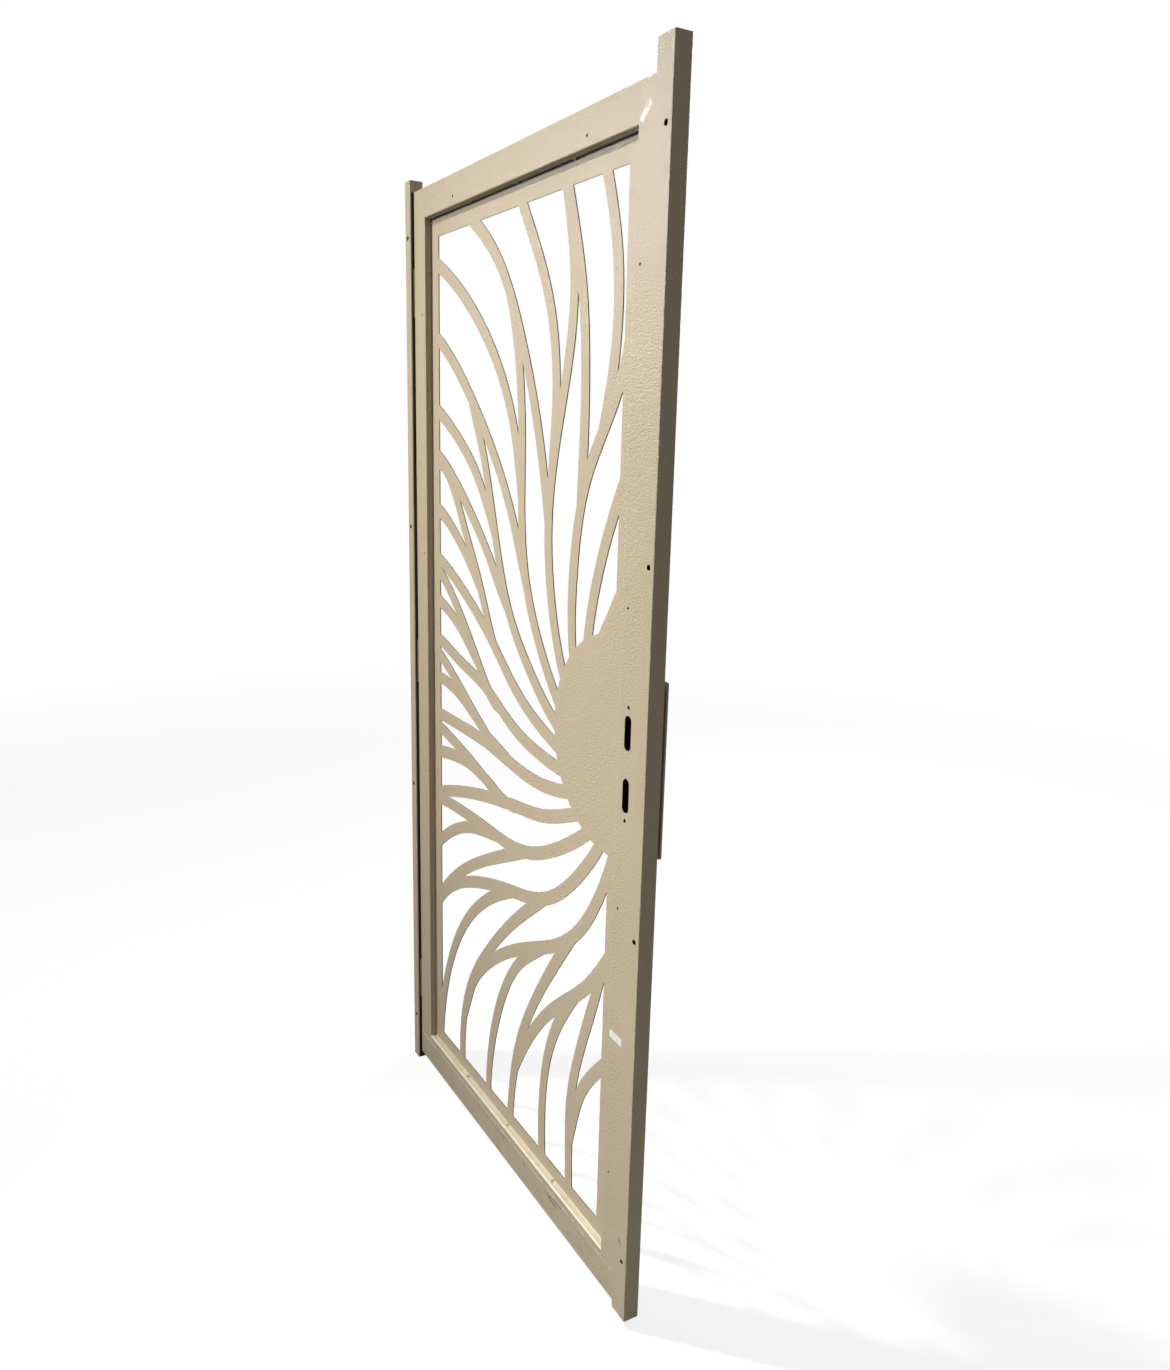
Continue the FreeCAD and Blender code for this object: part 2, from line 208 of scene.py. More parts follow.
scuff_inputs = [("Along", "Vector", (40.0, 40.0, 900.0)), ("Amount", "Float", 0.5)]
scuff_group, given, result = new_group("fine_scuffs", scuff_inputs, [("Mask", "Float")])
place = own_place(scuff_group)
stretched = vector_math(scuff_group, "MULTIPLY", place, given["Along"])
lines = between(scuff_group, noise(scuff_group, stretched, scale=1.0, detail=1.0), low=0.66, high=0.72)
patches = between(scuff_group, noise(scuff_group, place, scale=6.0), low=0.50, high=0.66)
scuffed = arithmetic(scuff_group, "MULTIPLY", lines, patches)
scuff_group.links.new(arithmetic(scuff_group, "MULTIPLY", scuffed, given["Amount"]), result["Mask"])

bore_inputs = [("Middle", "Vector", (0.0, 0.0, 0.0)), ("Section", "Vector", (1.0, 1.0, 0.0))]
bore_group, given, result = new_group("tube_inside", bore_inputs, [("Mask", "Float")])
offset = vector_math(bore_group, "SUBTRACT", own_place(bore_group), given["Middle"])
flat = vector_math(bore_group, "MULTIPLY", offset, given["Section"])
outward = vector_math(bore_group, "DOT_PRODUCT", flat, own_facing(bore_group))
bore_group.links.new(between(bore_group, outward, low=-0.0005, high=-0.0010), result["Mask"])

wander_reach = 0.0015
wander_scale = 120.0
scratch_inputs = [
    ("Start", "Vector", (0.0, 0.0, 0.0)),
    ("Run", "Vector", (1.0, 0.0, 0.0)),
    ("Width", "Float", 0.001),
    ("Broken", "Float", 0.0),
]
scratch_group, given, result = new_group("scratch", scratch_inputs, [("Mask", "Float")])
place = own_place(scratch_group)
wander = place_node(scratch_group, "TexNoise", {"Vector": place, "Scale": wander_scale}).outputs["Color"]
wander = vector_math(scratch_group, "SUBTRACT", wander, (0.5, 0.5, 0.5))
moved = vector_math(scratch_group, "ADD", place, scaled(scratch_group, wander, wander_reach))
reached = vector_math(scratch_group, "SUBTRACT", moved, given["Start"])
ahead = vector_math(scratch_group, "DOT_PRODUCT", reached, given["Run"])
whole = vector_math(scratch_group, "DOT_PRODUCT", given["Run"], given["Run"])
share = arithmetic(scratch_group, "DIVIDE", ahead, whole)
share = place_node(scratch_group, "Clamp", {"Value": share}).outputs[0]
aside = vector_math(scratch_group, "DISTANCE", reached, scaled(scratch_group, given["Run"], share))
line = between(scratch_group, arithmetic(scratch_group, "DIVIDE", aside, given["Width"]), low=1.0, high=0.4)
patches = between(scratch_group, noise(scratch_group, place, scale=70.0), low=0.45, high=0.58)
gaps = arithmetic(scratch_group, "MULTIPLY", patches, given["Broken"])
unbroken = arithmetic(scratch_group, "SUBTRACT", 1.0, gaps)
scratch_group.links.new(arithmetic(scratch_group, "MULTIPLY", line, unbroken), result["Mask"])


def new_material(name):
    """A material that holds a single plain shader."""
    material = bpy.data.materials.new(name)
    material.use_nodes = True
    tree = material.node_tree
    tree.nodes.clear()
    shader = place_node(tree, "BsdfPrincipled")
    place_node(tree, "OutputMaterial", {"Surface": shader.outputs["BSDF"]})
    return material, tree, shader


def powder_coat(name, scuff_along, scuffs, wear, dust, peel=peel_rise, rounding=0.0007):
    """The almond coat of one group of pieces: tone, scuffs, rubbed edges, dust and orange peel."""
    material, tree, shader = new_material(name)
    tone = use_group(tree, tone_group, {"Color": almond, "Drift": tone_drift})
    scuff = use_group(tree, scuff_group, {"Along": scuff_along, "Amount": scuffs})
    rub = use_group(tree, edge_group, {"Width": rub_width, "Patch": rub_patch, "Amount": wear})
    settled = use_group(tree, dust_group, {"Amount": dust})
    colour = layer(tree, scuff["Mask"], tone["Color"], rubbed_almond)
    colour = layer(tree, rub["Mask"], colour, rubbed_almond)
    colour = layer(tree, settled["Mask"], colour, pale_dust)
    satin = spread(tree, *coat_roughness, tone["Mottle"])
    dull = arithmetic(tree, "MULTIPLY", settled["Mask"], dust_dulling)
    shader.inputs["Specular IOR Level"].default_value = coat_shine
    tree.links.new(colour, shader.inputs["Base Color"])
    tree.links.new(arithmetic(tree, "ADD", satin, dull), shader.inputs["Roughness"])
    dimpled = use_group(tree, peel_group, {"Grain": peel_grain})
    soft_edge = place_node(tree, "Bevel", {"Radius": rounding}, samples=bevel_samples).outputs["Normal"]
    bump_inputs = {"Distance": peel, "Height": dimpled["Height"], "Normal": soft_edge}
    bump = place_node(tree, "Bump", bump_inputs)
    tree.links.new(bump.outputs["Normal"], shader.inputs["Normal"])
    return material, tree, shader, colour


def mark(tree, shader, colour, start, run, width, broken, over):
    """Draws a scratch, a rub or a painted highlight of another colour on a coat, from a start along a run."""
    places = {"Start": start, "Run": run, "Width": width, "Broken": broken}
    scratch = use_group(tree, scratch_group, places)
    colour = layer(tree, scratch["Mask"], colour, over)
    tree.links.new(colour, shader.inputs["Base Color"])
    return colour


def dress(name, material):
    """Gives a solid its material."""
    for slot in nodes[name].material_slots:
        slot.material = material


def tube_coat(name, section, scuff_along, wear, dust):
    """The coat of one tube, with its inside painted near black for bare steel and shade, put on that tube."""
    material, tree, shader, colour = powder_coat(name + "_coat", scuff_along, tube_scuffs, wear, dust)
    low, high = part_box(name)
    middle = [(a + b) / 2 for a, b in zip(low, high)]
    # Painted shade: the tube's inner walls are painted near black, standing for the bare steel and for the
    # shade inside the tube.
    inside = use_group(tree, bore_group, {"Middle": middle, "Section": section})
    colour = layer(tree, inside["Mask"], colour, bare_and_shaded_inside)
    tree.links.new(colour, shader.inputs["Base Color"])
    dress(name, material)
    return tree, shader, colour


upright_section = (1.0, 1.0, 0.0)
upright_scuffs = (700.0, 700.0, 30.0)
gap_front = 0.003
shade_fade = 0.001
leaf_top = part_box("hinge_stile")[1][2]
tree, shader, colour = tube_coat("hinge_jamb", upright_section, upright_scuffs, wear=0.7, dust=0.6)
# Painted shade: the hinge jamb's face toward the leaf, deep in the gap, is painted near black where shade
# falls in the narrow gap.
place = split(tree, own_place(tree))
facing_leaf = between(tree, split(tree, own_facing(tree))["X"], low=0.5, high=0.9)
deep = between(tree, place["Y"], gap_front - shade_fade, gap_front)
beside = between(tree, place["Z"], leaf_top + shade_fade, leaf_top - shade_fade)
in_gap = arithmetic(tree, "MULTIPLY", deep, beside)
in_gap = arithmetic(tree, "MULTIPLY", in_gap, facing_leaf)
tree.links.new(layer(tree, in_gap, colour, painted_gap_shade), shader.inputs["Base Color"])
nick = (0.9622, 0.0, 0.1510), (0.0050, 0.0, -0.0062)
coat = tube_coat("strike_jamb", upright_section, upright_scuffs, wear=0.7, dust=0.6)
mark(*coat, *nick, width=0.0026, broken=0.0, over=worn_primer)


# Stop lip: a flat steel strip along the strike jamb that the leaf closes against.
# It is welded into the jamb's round corner, ground flush and coated together with the jamb.
lip_coat = powder_coat("stop_lip_coat", upright_scuffs, tube_scuffs, wear=0.0, dust=0.6, rounding=0.0)[0]
dress("strike_stop", lip_coat)


# Leaf frame: four lengths of rectangular steel tube, mitred at the corners and welded.
# Its coat is scuffed along each tube, most of all on the bottom rail, which gets knocked and scratched.
across_section = (0.0, 1.0, 1.0)
across_scuffs = (30.0, 700.0, 700.0)
pale_rub = (0.780, 0.700, 0.560, 1.0)
grime = (0.270, 0.225, 0.165, 1.0)
speck_share = 0.5
rub_level = 0.060
rub_length = 0.910
leaf_low, leaf_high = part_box("hinge_stile")[0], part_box("lock_stile")[1]
tube_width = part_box("hinge_stile")[1][0] - leaf_low[0]
rub_line = (leaf_low[0], leaf_low[1], rub_level), (rub_length, 0.0, 0.0)
for name in ("hinge_stile", "lock_stile"):
    coat = tube_coat(name, upright_section, upright_scuffs, wear=0.7, dust=0.5)
    mark(*coat, *rub_line, width=0.0024, broken=0.7, over=pale_rub)
tube_coat("top_rail", across_section, across_scuffs, wear=0.6, dust=0.5)


def soiled(tree, shader, colour):
    """Dark smudges and fainter specks over a coat."""
    smudges = between(tree, noise(tree, own_place(tree), scale=40.0, detail=6.0), low=0.50, high=0.95)
    specks = between(tree, noise(tree, own_place(tree), scale=420.0), low=0.58, high=0.74)
    soil = arithmetic(tree, "MAXIMUM", smudges, arithmetic(tree, "MULTIPLY", specks, speck_share))
    colour = layer(tree, soil, colour, grime)
    tree.links.new(colour, shader.inputs["Base Color"])
    return colour


tree, shader, colour = tube_coat("bottom_rail", across_section, across_scuffs, wear=0.9, dust=0.8)
colour = soiled(tree, shader, colour)
for start_x, start_z, run_x, run_z, width in (
    (0.684, 0.047, 0.042, -0.005, 0.0024),
    (0.697, 0.049, 0.049, 0.005, 0.0018),
    (0.360, 0.051, 0.150, 0.001, 0.0010),
):
    start = (start_x, leaf_low[1], start_z)
    run = (run_x, 0.0, run_z)
    colour = mark(tree, shader, colour, start, run, width, broken=0.4, over=worn_primer)


# Sill: a folded steel strip on top of the bottom rail, in front of the panel, with a hollow fold at the back.
# It is welded on flush with the tubes and coated with them. A pale line along its upper edge is painted
# highlight and rubbed wear together.
sill_top = 0.076
sill_rounding = 0.0025
sill_hollow = 0.0035
edge_start = 0.0002
edge_highlight_rub_inset = 0.0006
turn_steps = 8
sharp_angle = math.radians(38)
panel_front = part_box("sunburst_panel")[0][1]
rail_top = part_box("bottom_rail")[1][2]


def new_piece(name, points, faces, body, material):
    """A smooth mesh piece, its faces turned outward, that rides on a body."""
    mesh = bpy.data.meshes.new(name)
    mesh.from_pydata([tuple(point) for point in points], [], faces)
    shape = bmesh.new()
    shape.from_mesh(mesh)
    bmesh.ops.recalc_face_normals(shape, faces=shape.faces)
    shape.to_mesh(mesh)
    shape.free()
    mesh.materials.append(material)
    mesh.shade_smooth()
    mesh.set_sharp_from_angle(angle=sharp_angle)
    piece = bpy.data.objects.new(name, mesh)
    bpy.context.scene.collection.objects.link(piece)
    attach(piece, body)
    return piece


def quarter_turn(middle_y, middle_z, radius, from_angle, to_angle):
    """Points of a quarter circle seen along X."""
    shares = [step / turn_steps for step in range(turn_steps + 1)]
    angles = [math.radians(from_angle + (to_angle - from_angle) * share) for share in shares]
    return [(middle_y + radius * math.cos(angle), middle_z + radius * math.sin(angle)) for angle in angles]


def tube_faces(count):
    """The faces of a closed bar between two outlines of so many points each."""
    sides = [(a, (a + 1) % count, (a + 1) % count + count, a + count) for a in range(count)]
    return sides + [tuple(range(count)), tuple(range(count, 2 * count))]


def bar_along_x(section, left, right):
    """Points and faces of a straight bar with the given section."""
    points = [(x, y, z) for x in (left, right) for y, z in section]
    return points, tube_faces(len(section))


foot = rail_top - sill_rounding
section = [(panel_front, foot), (leaf_low[1], foot), (leaf_low[1], sill_top - sill_rounding - edge_start)]
section += quarter_turn(leaf_low[1] + sill_rounding, sill_top - sill_rounding, sill_rounding, 180, 90)
section += [(leaf_low[1] + sill_rounding + edge_start, sill_top)]
section += [(panel_front - sill_hollow - edge_start, sill_top)]
section += quarter_turn(panel_front - sill_hollow, sill_top + sill_hollow, sill_hollow, 270, 360)
sill_left = leaf_low[0] + tube_width
sill_right = leaf_high[0] - tube_width
sill_coat, tree, shader, colour = powder_coat("sill_coat", across_scuffs, tube_scuffs, wear=0.9, dust=0.8)
colour = soiled(tree, shader, colour)
colour = mark(tree, shader, colour, *rub_line, width=0.0024, broken=0.6, over=pale_rub)
# Painted highlight: the pale line along the sill's upper edge stands for light falling on that edge, together
# with rubbed wear.
edge_highlight_rub_start = (sill_left, leaf_low[1] + edge_highlight_rub_inset, sill_top - edge_highlight_rub_inset)
edge_highlight_rub = edge_highlight_rub_start, (sill_right - sill_left, 0.0, 0.0)
mark(tree, shader, colour, *edge_highlight_rub, width=0.0026, broken=0.2, over=pale_rub)
points, faces = bar_along_x(section, sill_left - sill_rounding, sill_right + sill_rounding)
sill = new_piece("sill", points, faces, "leaf", sill_coat)


# Mitre weld: the leaf's corners are welded along their mitres and ground flush under the coat.
# At the upper lock corner the grinding has left a barely raised strip, which carries a near-white painted
# highlight standing for the glint of light on the ground weld.
seam_width = 0.020
seam_height = 0.0001
seam_ripple = 0.05
seam_start = (0.9000, 1.9760)
seam_end = (0.9300, 2.0020)
painted_glint_white = (0.860, 0.810, 0.730, 1.0)
glint_share = 0.7
even_scuffs = (300.0, 300.0, 300.0)
bead_points = 9
bead_step = 0.0012
fewest_bead_steps = 12
ripples_per_metre = 2400.0
end_slope = 6.0
end_height = 0.15
end_width = 0.75


def weld_bead(name, runs, body, material):
    """Low rounded beads, each run given as (start, end, outward, width, height, ripple)."""
    points = []
    faces = []
    for start, end, outward, width, height, ripple in runs:
        start, end, outward = Vector(start), Vector(end), Vector(outward).normalized()
        length = (end - start).length
        forward = (end - start).normalized()
        side = forward.cross(outward)
        steps = max(fewest_bead_steps, int(length / bead_step))
        first = len(points)
        for step in range(steps + 1):
            share = step / steps
            full = min(1.0, end_slope * share + end_height, end_slope * (1.0 - share) + end_height)
            half_width = width / 2 * (end_width + (1.0 - end_width) * full)
            wave = 1.0 + ripple * math.sin(share * length * ripples_per_metre)
            middle = start + forward * (share * length)
            for place in range(bead_points):
                turn = math.pi * place / (bead_points - 1)
                sideways = side * (math.cos(turn) * half_width)
                points.append(middle + sideways + outward * (math.sin(turn) * height * full * wave))
        for step in range(steps):
            row = first + step * bead_points
            for place in range(bead_points - 1):
                a = row + place
                faces.append((a, a + 1, a + 1 + bead_points, a + bead_points))
            faces.append((row + bead_points - 1, row, row + bead_points, row + 2 * bead_points - 1))
        last = first + steps * bead_points
        faces.append(tuple(range(first + bead_points - 1, first - 1, -1)))
        faces.append(tuple(range(last, last + bead_points)))
    bead = new_piece(name, points, faces, body, material)


weld_coat, *coat = powder_coat("weld_coat", even_scuffs, scuffs=0.3, wear=0.0, dust=0.0, rounding=0.0)
ends = [(x, leaf_low[1], z) for x, z in (seam_start, seam_end)]
# Painted highlight: the near-white strip along the mitre stands for the glint of light on the ground weld.
rub = ends[0], (Vector(ends[1]) - Vector(ends[0])) * glint_share
mark(*coat, *rub, width=0.0085, broken=0.6, over=painted_glint_white)
seam = (*ends, (0, -1, 0), seam_width, seam_height, seam_ripple)
weld_bead("upper_lock_mitre_weld", [seam], "leaf", weld_coat)


# Sunburst panel: one steel sheet, laser cut, with its edges folded forward into the screwed flanges.
# The folds are sharp, so each flange meets the sheet in a plain corner. The coat is even; the cut edges are
# painted dark for their thin coat and for the shade on them. A near-black painted shade lies on the sheet in
# the corner under the top flange.
flange_thickness = 0.0015
corner_shade_height = 0.0045
fine_peel = 0.0003
flange_scuffs = (60.0, 700.0, 60.0)
panel_scuffs = (220.0, 220.0, 220.0)
thin_coat_and_shade = (0.100, 0.082, 0.058, 1.0)
inner_left = sill_left + flange_thickness
inner_right = sill_right - flange_thickness
inner_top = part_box("top_flange")[1][2] - flange_thickness
flange_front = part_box("top_flange")[0][1]
shade_foot = inner_top - corner_shade_height
panel_coat, tree, shader, colour = powder_coat("panel_coat", panel_scuffs, scuffs=0.35, wear=0.0, dust=0.3)
facing = split(tree, own_facing(tree))["Y"]
# The cut edges are painted dark: partly their thinner coat, partly painted shade on the narrow edges.
cut_edge = between(tree, arithmetic(tree, "ABSOLUTE", facing, 0.0), low=0.6, high=0.3)
colour = layer(tree, cut_edge, colour, thin_coat_and_shade)
# Painted shade: a near-black band on the sheet just under the top flange stands for the shade in that corner.
in_corner = between(tree, split(tree, own_place(tree))["Z"], shade_foot, shade_foot + shade_fade)
in_corner = arithmetic(tree, "MULTIPLY", in_corner, between(tree, facing, low=-0.6, high=-0.9))
tree.links.new(layer(tree, in_corner, colour, painted_gap_shade), shader.inputs["Base Color"])
flange_coat = powder_coat("flange_coat", flange_scuffs, scuffs=0.5, wear=0.6, dust=0.9, peel=fine_peel)[0]
dress("sunburst_panel", panel_coat)
dress("bottom_flange", flange_coat)
for node, left, right, bottom, top in (
    ("top_flange", sill_left, sill_right, inner_top, inner_top + flange_thickness),
    ("hinge_side_flange", sill_left, inner_left, rail_top, inner_top),
    ("lock_side_flange", inner_right, sill_right, rail_top, inner_top),
):
    section = [(flange_front, bottom), (flange_front, top), (panel_front, top), (panel_front, bottom)]
    strip = new_piece(node + "_strip", *bar_along_x(section, left, right), "leaf", flange_coat)
    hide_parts(node)


# Flange screws: pan-head self-drilling screws that hold the flanges and the sill to the leaf's tubes.
# They went in before coating, so their heads are almond too, each with a cross recess.
head_radius = 0.0036
head_height = 0.0026
head_rings = [(1.0, -0.05), (1.0, 0.35), (0.97, 0.62), (0.88, 0.84), (0.74, 0.96), (0.58, 1.0)]
ring_points = 32
recess_reach = 0.0019
recess_half_width = 0.0005
recess_depth = 0.0013
recess_taper = 0.55
screw_inset = 0.0038
first_turn = 0.4
turn_between = 1.3
screw_peel = 0.0002
screw_coat = powder_coat("screw_coat", even_scuffs, scuffs=0.5, wear=0.9, dust=0.3, peel=screw_peel)[0]


def screw_head(seat, outward, turn):
    """Points and faces of one pan head with a cross recess."""
    seat = Vector(seat)
    outward = Vector(outward).normalized()
    side = outward.orthogonal().normalized()
    side.rotate(Quaternion(outward, turn))
    other = outward.cross(side)
    points = []
    faces = []
    for wide, high in head_rings:
        for place in range(ring_points):
            angle = 2 * math.pi * place / ring_points
            spot = (side * math.cos(angle) + other * math.sin(angle)) * (wide * head_radius)
            points.append(seat + spot + outward * (high * head_height))
    for ring in range(len(head_rings) - 1):
        for place in range(ring_points):
            a = ring * ring_points + place
            b = ring * ring_points + (place + 1) % ring_points
            faces.append((a, b, b + ring_points, a + ring_points))
    faces.append(tuple(range(ring_points - 1, -1, -1)))
    arm, half = recess_reach, recess_half_width
    cross = []
    for quarter in range(4):
        for x, y in ((arm, half), (half, half), (half, arm)):
            for _ in range(quarter):
                x, y = -y, x
            cross.append((x, y))
    first = len(points)
    corners = len(cross)
    for depth, shrink in ((0.0, 1.0), (recess_depth, recess_taper)):
        for x, y in cross:
            spot = side * (x * shrink) + other * (y * shrink)
            points.append(seat + spot + outward * (head_height - depth))
    for place in range(corners):
        a = first + place
        b = first + (place + 1) % corners
        faces.append((b, a, a + corners, b + corners))
    faces.append(tuple(range(first + corners, first + 2 * corners)))
    rim = (len(head_rings) - 1) * ring_points
    span = ring_points // 4
    for quarter in range(4):
        corner = first + 3 * quarter
        arc = [rim + (quarter * span + step) % ring_points for step in range(span + 1)]
        faces.append((corner, *arc[:span // 2 + 1], corner + 1))
        faces.append((corner + 1, *arc[span // 2:], corner + 2))
        faces.append((corner + 2, arc[span], first + (3 * quarter + 3) % corners))
    return points, faces


def screw_row(name, seats, outward):
    """One piece with a screw head at each seat, every one turned a little further."""
    points = []
    faces = []
    for place, seat in enumerate(seats):
        more_points, more_faces = screw_head(seat, outward, first_turn + turn_between * place)
        faces += [tuple(index + len(points) for index in face) for face in more_faces]
        points += more_points
    row = new_piece(name, points, faces, "leaf", screw_coat)


screw_y = flange_front + screw_inset
across_places = (0.283, 0.4865, 0.690)
upright_places = (0.172, 0.455, 0.737, 1.018, 1.300, 1.584, 1.866)
screw_row("top_flange_screws", [(x, screw_y, inner_top) for x in across_places], (0, 0, -1))
screw_row("sill_screws", [(x, screw_y, sill_top) for x in across_places], (0, 0, 1))
screw_row("hinge_side_flange_screws", [(inner_left, screw_y, z) for z in upright_places], (1, 0, 0))
screw_row("lock_side_flange_screws", [(inner_right, screw_y, z) for z in upright_places], (-1, 0, 0))


# Hinges: three pairs of steel plates with rolled knuckles, welded to the jamb and the hinge stile.
# The plates are coated with the door, and each turns on a loose pin of plain bright steel.
pin_dark = (0.50, 0.49, 0.47, 1.0)
pin_light = (0.58, 0.57, 0.55, 1.0)
pin_stain = (0.22, 0.15, 0.10, 1.0)
pin_groove = 0.0001
hinge_weld = 0.003
weld_from = 0.004
weld_to = 0.034
weld_sunk = 0.3
weld_width = 1.3
weld_rise = 0.45
weld_ripple = 0.15
hinge_coat = powder_coat("hinge_coat", upright_scuffs, scuffs=0.6, wear=0.9, dust=0.5, peel=fine_peel)[0]
pin_steel, tree, shader = new_material("pin_steel")
ring_inputs = {"Vector": own_place(tree), "Scale": 700.0, "Distortion": 2.0}
rings = place_node(tree, "TexWave", ring_inputs, bands_direction="Z").outputs["Fac"]
stain = between(tree, noise(tree, own_place(tree), scale=160.0, detail=4.0), low=0.50, high=0.72)
bright = layer(tree, rings, pin_dark, pin_light)
tree.links.new(layer(tree, stain, bright, pin_stain), shader.inputs["Base Color"])
tree.links.new(spread(tree, 0.28, 0.55, stain), shader.inputs["Roughness"])
tree.links.new(spread(tree, 1.0, 0.5, stain), shader.inputs["Metallic"])
bump = place_node(tree, "Bump", {"Strength": 0.3, "Distance": pin_groove, "Height": rings})
tree.links.new(bump.outputs["Normal"], shader.inputs["Normal"])


def corner_run(x, y, bottom, top, size):
    """One upright weld run in the corner at x and y, as weld_bead takes it."""
    seat = (x - size * weld_sunk, y + size * weld_sunk)
    return (*seat, bottom), (*seat, top), (-1, 1, 0), size * weld_width, size * weld_rise, weld_ripple


jamb_side, jamb_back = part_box("hinge_jamb")[1][:2]
for level in ("upper", "middle", "lower"):
    dress(level + "_hinge_jamb_plate", hinge_coat)
    dress(level + "_hinge_leaf_plate", hinge_coat)
    dress(level + "_hinge_pin", pin_steel)
    low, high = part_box(level + "_hinge_jamb_plate")
    spans = (low[2] + weld_from, low[2] + weld_to), (high[2] - weld_to, high[2] - weld_from)
    runs = [corner_run(jamb_side, jamb_back, bottom, top, hinge_weld) for bottom, top in spans]
    weld_bead(level + "_hinge_jamb_weld", runs, "jambs", hinge_coat)


# Latch guard: a flat steel plate over the gap at the lock, so that the latch can't be reached from outside.
# It is welded to the lock stile's outside face along its inner edge and coated with the door.
guard_weld = 0.0035
guard_weld_half = 0.016
guard_weld_shares = (0.12, 0.5, 0.88)
guard_coat = powder_coat("guard_coat", upright_scuffs, scuffs=0.7, wear=0.9, dust=0.5, peel=fine_peel)[0]
dress("latch_guard", guard_coat)
guard_low, guard_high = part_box("latch_guard")
runs = []
for share in guard_weld_shares:
    middle = guard_low[2] + share * (guard_high[2] - guard_low[2])
    span = (middle - guard_weld_half, middle + guard_weld_half)
    runs.append(corner_run(guard_low[0], leaf_high[1], *span, guard_weld))
weld_bead("latch_guard_weld", runs, "leaf", guard_coat)


# Blank label: a small white paper sticker low on the lock stile's inside face.
# It is stuck on by hand, slightly crooked, with soft corners and grey smudges.
label_width = 0.040
label_height = 0.014
label_thickness = 0.0002
label_middle = (0.9195, 0.5215)
label_tilt = math.radians(-2.0)
label_corner = 0.0012
label_corner_steps = 4
paper_dark = (0.78, 0.77, 0.74, 1.0)
paper_light = (0.86, 0.85, 0.83, 1.0)
paper_smudge = (0.52, 0.49, 0.44, 1.0)
fibre_rise = 0.0001
label_paper, tree, shader = new_material("label_paper")
fibres = noise(tree, own_place(tree), scale=1400.0, detail=3.0)
smudge = between(tree, noise(tree, own_place(tree), scale=150.0, detail=3.0), low=0.50, high=0.75)
paper = layer(tree, fibres, paper_dark, paper_light)
tree.links.new(layer(tree, smudge, paper, paper_smudge), shader.inputs["Base Color"])
tree.links.new(spread(tree, 0.55, 0.75, fibres), shader.inputs["Roughness"])
bump = place_node(tree, "Bump", {"Strength": 0.2, "Distance": fibre_rise, "Height": fibres})
tree.links.new(bump.outputs["Normal"], shader.inputs["Normal"])
outline = []
for x_sign, z_sign, from_angle in ((1, 1, 0), (-1, 1, 90), (-1, -1, 180), (1, -1, 270)):
    for step in range(label_corner_steps + 1):
        angle = math.radians(from_angle + 90 / label_corner_steps * step)
        x = x_sign * (label_width / 2 - label_corner) + label_corner * math.cos(angle)
        z = z_sign * (label_height / 2 - label_corner) + label_corner * math.sin(angle)
        outline.append((x, z))
points = []
for depth in (0.0, label_thickness):
    for x, z in outline:
        turned_x = x * math.cos(label_tilt) - z * math.sin(label_tilt)
        turned_z = x * math.sin(label_tilt) + z * math.cos(label_tilt)
        points.append((label_middle[0] + turned_x, leaf_low[1] - depth, label_middle[1] + turned_z))
new_piece("blank_label", points, tube_faces(len(outline)), "leaf", label_paper)


# Studio: a plain pale floor, soft lamps from the upper left and from behind, and a dim even sky.
# The floor and the sky look white to the camera, and the floor still takes the door's shadow.
floor_reach = 40.0
floor_level = cad_box[0][2]
floor_grey = (0.18, 0.18, 0.18, 1.0)
shadow_white = (0.95, 0.95, 0.95, 1.0)
plain_white = (1.0, 1.0, 1.0, 1.0)
shadow_share = 0.26
shadow_full = 1.5
shadow_end = 5.0
sky_strength = 0.28
key_place = (-0.9, -1.75, 3.88)
key_size = 0.2
wide_open = 180.0
lens_length = 27.814
sensor_width = 36.0
camera_place = (2.3003, -0.8956, 1.5262)
camera_angles = (77.038, -1.466, 59.580)


def seen_rays(tree):
    """1 for rays that come from the camera, also through a clear piece."""
    rays = place_node(tree, "LightPath").outputs
    return arithmetic(tree, "MAXIMUM", rays["Is Camera Ray"], rays["Is Transmission Ray"])


floor_mesh = bpy.data.meshes.new("floor")
signs = [(-1, -1), (1, -1), (1, 1), (-1, 1)]
corners = [(x * floor_reach, y * floor_reach, floor_level) for x, y in signs]
floor_mesh.from_pydata(corners, [], [(0, 1, 2, 3)])
floor = bpy.data.objects.new("floor", floor_mesh)
bpy.context.scene.collection.objects.link(floor)
pale_floor = bpy.data.materials.new("pale_floor")
pale_floor.use_nodes = True
tree = pale_floor.node_tree
tree.nodes.clear()
under_lamps = place_node(tree, "BsdfDiffuse", {"Color": floor_grey}).outputs[0]
shadowed = place_node(tree, "BsdfDiffuse", {"Color": shadow_white}).outputs[0]
white = place_node(tree, "Emission", {"Color": plain_white, "Strength": 1.0}).outputs[0]
away = place_node(tree, "VectorMath", {0: own_place(tree)}, operation="LENGTH").outputs["Value"]
share = arithmetic(tree, "MULTIPLY", between(tree, away, shadow_end, shadow_full), shadow_share)
looks = place_node(tree, "MixShader", {0: share, 1: white, 2: shadowed}).outputs[0]
surface = place_node(tree, "MixShader", {0: seen_rays(tree), 1: under_lamps, 2: looks}).outputs[0]
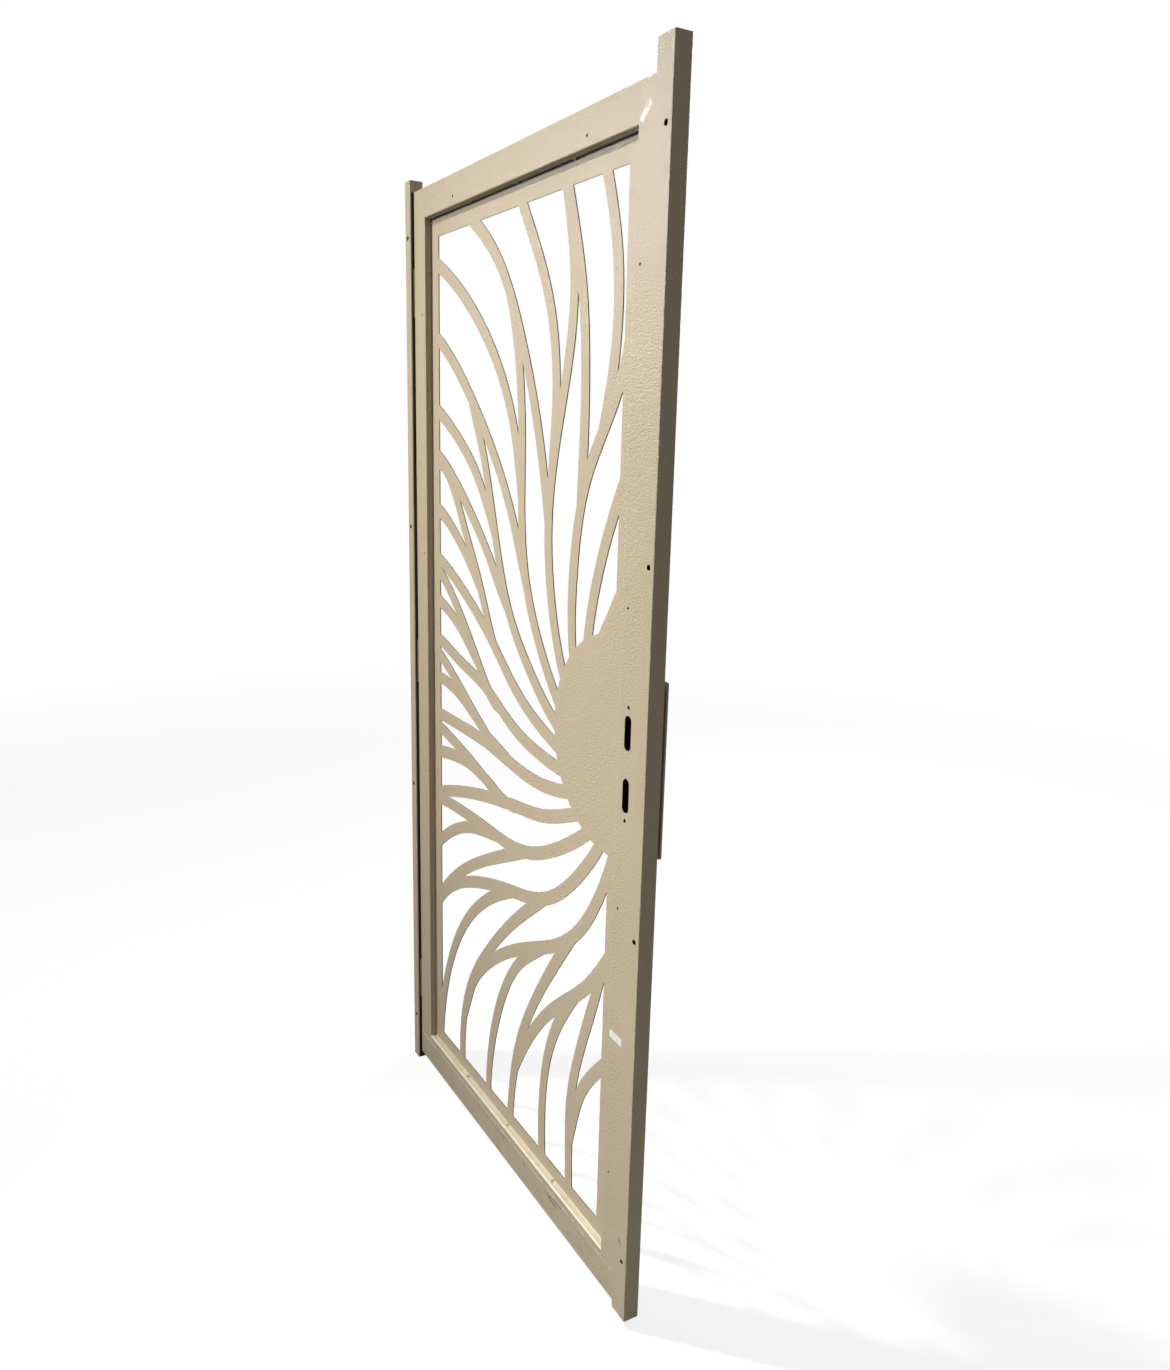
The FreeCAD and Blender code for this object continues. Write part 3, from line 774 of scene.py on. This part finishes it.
place_node(tree, "OutputMaterial", {"Surface": surface})
floor_mesh.materials.append(pale_floor)

sky = bpy.data.worlds.new("studio_sky")
bpy.context.scene.world = sky
sky.use_nodes = True
tree = sky.node_tree
tree.nodes.clear()
dim = place_node(tree, "Background", {"Color": plain_white, "Strength": sky_strength}).outputs[0]
white = place_node(tree, "Background", {"Color": plain_white, "Strength": 1.0}).outputs[0]
surface = place_node(tree, "MixShader", {0: seen_rays(tree), 1: dim, 2: white}).outputs[0]
place_node(tree, "OutputWorld", {"Surface": surface})


def soft_lamp(name, place, aim, size, power, beam):
    """A square lamp that shines towards its aim, in a beam of so many degrees."""
    lamp = bpy.data.lights.new(name, "AREA")
    lamp.size = size
    lamp.energy = power
    lamp.spread = math.radians(beam)
    holder = bpy.data.objects.new(name, lamp)
    holder.location = place
    holder.rotation_euler = (Vector(aim) - Vector(place)).to_track_quat("-Z", "Y").to_euler()
    bpy.context.scene.collection.objects.link(holder)


# The narrow beams add a little light on the lock side, and the back lamp lights the outside face.
soft_lamp("key_lamp", key_place, (0.4, 0.0, 1.4), key_size, power=41.0, beam=wide_open)
soft_lamp("key_beam", key_place, (1.4, 0.0, 0.0), key_size, power=11.5, beam=40.0)
soft_lamp("key_spot", key_place, (1.42, 0.0, 1.80), key_size, power=0.2, beam=20.0)
soft_lamp("left_beam", (-1.85, -2.0, 2.50), (1.50, 0.0, 1.80), size=0.4, power=0.34, beam=20.0)
soft_lamp("left_lamp", (-1.4, -2.2, 2.6), (0.2, 0.0, 2.0), size=0.3, power=44.0, beam=wide_open)
soft_lamp("back_lamp", (-0.6, 3.2, 2.8), (0.5, 0.0, 1.0), size=2.4, power=125.0, beam=wide_open)

lens = bpy.data.cameras.new("camera")
lens.sensor_width = sensor_width
lens.lens = lens_length
camera = bpy.data.objects.new("camera", lens)
camera.location = camera_place
camera.rotation_euler = [math.radians(angle) for angle in camera_angles]
bpy.context.scene.collection.objects.link(camera)
bpy.context.scene.camera = camera
bpy.context.scene.view_settings.view_transform = "Standard"
